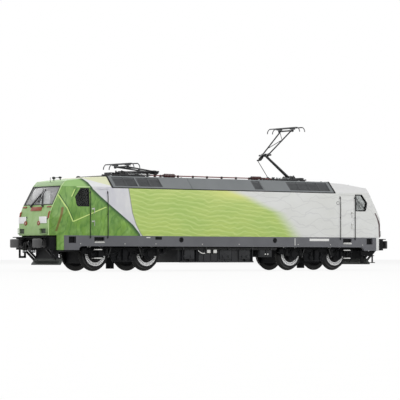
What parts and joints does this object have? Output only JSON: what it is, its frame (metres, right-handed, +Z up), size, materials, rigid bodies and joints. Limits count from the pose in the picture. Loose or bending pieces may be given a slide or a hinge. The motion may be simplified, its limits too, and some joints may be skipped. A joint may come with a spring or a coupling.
{
  "type": "electric locomotive scale model",
  "caption": "Scale model of a twin-cab electric locomotive on swivelling bogies, with turning axles and folding single-arm pantographs on a hooded roof",
  "frame": {"origin": "centre of the outline on the floor, which is the plane under the wheel flanges", "axes": "+X along the body to the rear cab, which has the raised pantograph; +Y across; +Z up"},
  "size_m": [0.2172, 0.0354, 0.0739],
  "materials": {
    "livery_paint": "satin paint, several colours",
    "roof_paint": "matt",
    "grille_paint": "matt",
    "band_paint": "matt",
    "bright_steps": "satin",
    "black_frame": "matt",
    "die_cast": "cast",
    "buffer_grey": "satin",
    "dark_steel": "blackened",
    "hose_black": "matt",
    "tinted_glass": "clear",
    "lamp_lens": "clear",
    "black_trim": "satin",
    "cab_grey": "matt",
    "box_grey": "matt",
    "busbar_red": "satin",
    "insulator_brown": "glossy",
    "pantograph_black": "blackened",
    "collector_steel": "satin",
    "wheel_steel": "turned"
  },
  "bodies": {
    "locomotive": {"body_shell": "livery_paint", "roof_hood": "roof_paint", "roof_grilles": "grille_paint", "grey_bands": "band_paint", "band_steps": "bright_steps", "chassis": "black_frame", "die_cast_weight": "die_cast", "buffer_beams": "black_frame", "tread_plates": "black_frame", "buffers": "buffer_grey", "drawhooks": "dark_steel", "brake_hoses": "hose_black", "snowploughs": "black_frame", "shunter_steps": "black_frame", "windscreens": "tinted_glass", "side_windows": "tinted_glass", "headlights": "lamp_lens", "wipers": "black_trim", "door_handrails": "black_trim", "cab_interiors": "cab_grey", "transformer_tank": "black_frame", "equipment_box": "box_grey", "roof_horns": "black_trim", "roof_busbar": "busbar_red", "roof_insulators": "insulator_brown", "pantograph_bases": "pantograph_black"},
    "bogie_front": {"bogie_frame_front": "black_frame", "gearbox_front": "black_frame", "door_steps_front": "bright_steps"},
    "axle_1": {"wheelset_1": "wheel_steel"},
    "axle_2": {"wheelset_2": "wheel_steel"},
    "bogie_rear": {"bogie_frame_rear": "black_frame", "gearbox_rear": "black_frame", "door_steps_rear": "bright_steps"},
    "axle_3": {"wheelset_3": "wheel_steel"},
    "axle_4": {"wheelset_4": "wheel_steel"},
    "pantograph_front_lower_arm": {"lower_arm_front": "pantograph_black"},
    "pantograph_front_guide_rod": {"guide_rod_front": "dark_steel"},
    "pantograph_front_upper_arm": {"upper_arm_front": "pantograph_black"},
    "pantograph_front_collector": {"collector_head_front": "collector_steel"},
    "pantograph_rear_lower_arm": {"lower_arm_rear": "pantograph_black"},
    "pantograph_rear_guide_rod": {"guide_rod_rear": "dark_steel"},
    "pantograph_rear_upper_arm": {"upper_arm_rear": "pantograph_black"},
    "pantograph_rear_collector": {"collector_head_rear": "collector_steel"}
  },
  "joints": [
    {"name": "bogie_front_swivel", "type": "hinge", "parent": "locomotive", "child": "bogie_front", "pos_m": [-0.06, 0, 0.0161], "axis": [0, 0, 1], "range_deg": [-10, 10]},
    {"name": "axle_1_spin", "type": "hinge", "parent": "bogie_front", "child": "axle_1", "pos_m": [-0.075, 0, 0.0083], "axis": [0, 1, 0], "continuous": true},
    {"name": "axle_2_spin", "type": "hinge", "parent": "bogie_front", "child": "axle_2", "pos_m": [-0.045, 0, 0.0083], "axis": [0, 1, 0], "continuous": true},
    {"name": "bogie_rear_swivel", "type": "hinge", "parent": "locomotive", "child": "bogie_rear", "pos_m": [0.06, 0, 0.0161], "axis": [0, 0, 1], "range_deg": [-10, 10]},
    {"name": "axle_3_spin", "type": "hinge", "parent": "bogie_rear", "child": "axle_3", "pos_m": [0.045, 0, 0.0083], "axis": [0, 1, 0], "continuous": true},
    {"name": "axle_4_spin", "type": "hinge", "parent": "bogie_rear", "child": "axle_4", "pos_m": [0.075, 0, 0.0083], "axis": [0, 1, 0], "continuous": true},
    {"name": "pantograph_front_lift", "type": "hinge", "parent": "locomotive", "child": "pantograph_front_lower_arm", "pos_m": [-0.0535, 0, 0.048], "axis": [0, -1, 0], "range_deg": [0, 44]},
    {"name": "pantograph_front_knuckle", "type": "hinge", "parent": "pantograph_front_lower_arm", "child": "pantograph_front_upper_arm", "pos_m": [-0.03432, 0, 0.04884], "axis": [0, -1, 0], "range_deg": [-92.42, 0]},
    {"name": "pantograph_front_head", "type": "hinge", "parent": "pantograph_front_upper_arm", "child": "pantograph_front_collector", "pos_m": [-0.0532, 0, 0.05094], "axis": [0, -1, 0], "range_deg": [0, 48.42]},
    {"name": "pantograph_front_rod", "type": "hinge", "parent": "locomotive", "child": "pantograph_front_guide_rod", "pos_m": [-0.042, 0.0026, 0.0477], "axis": [0, -1, 0], "range_deg": [0, 66.37]},
    {"name": "pantograph_rear_lift", "type": "hinge", "parent": "locomotive", "child": "pantograph_rear_lower_arm", "pos_m": [0.052, 0, 0.048], "axis": [0, 1, 0], "range_deg": [-33.5, 10.5]},
    {"name": "pantograph_rear_knuckle", "type": "hinge", "parent": "pantograph_rear_lower_arm", "child": "pantograph_rear_upper_arm", "pos_m": [0.03647, 0, 0.05928], "axis": [0, 1, 0], "range_deg": [-22.07, 70.37]},
    {"name": "pantograph_rear_head", "type": "hinge", "parent": "pantograph_rear_upper_arm", "child": "pantograph_rear_collector", "pos_m": [0.05032, 0, 0.07229], "axis": [0, 1, 0], "range_deg": [-36.87, 11.57]},
    {"name": "pantograph_rear_rod", "type": "hinge", "parent": "locomotive", "child": "pantograph_rear_guide_rod", "pos_m": [0.0405, 0.0026, 0.0477], "axis": [0, 1, 0], "range_deg": [-50.54, 15.85]}
  ],
  "couplings": [
    {"joint": "pantograph_front_knuckle", "follows": "pantograph_front_lift", "ratio": -2.1},
    {"joint": "pantograph_front_head", "follows": "pantograph_front_lift", "ratio": 1.1},
    {"joint": "pantograph_front_rod", "follows": "pantograph_front_lift", "ratio": 1.508},
    {"joint": "pantograph_rear_knuckle", "follows": "pantograph_rear_lift", "ratio": -2.1},
    {"joint": "pantograph_rear_head", "follows": "pantograph_rear_lift", "ratio": 1.1},
    {"joint": "pantograph_rear_rod", "follows": "pantograph_rear_lift", "ratio": 1.508}
  ]
}
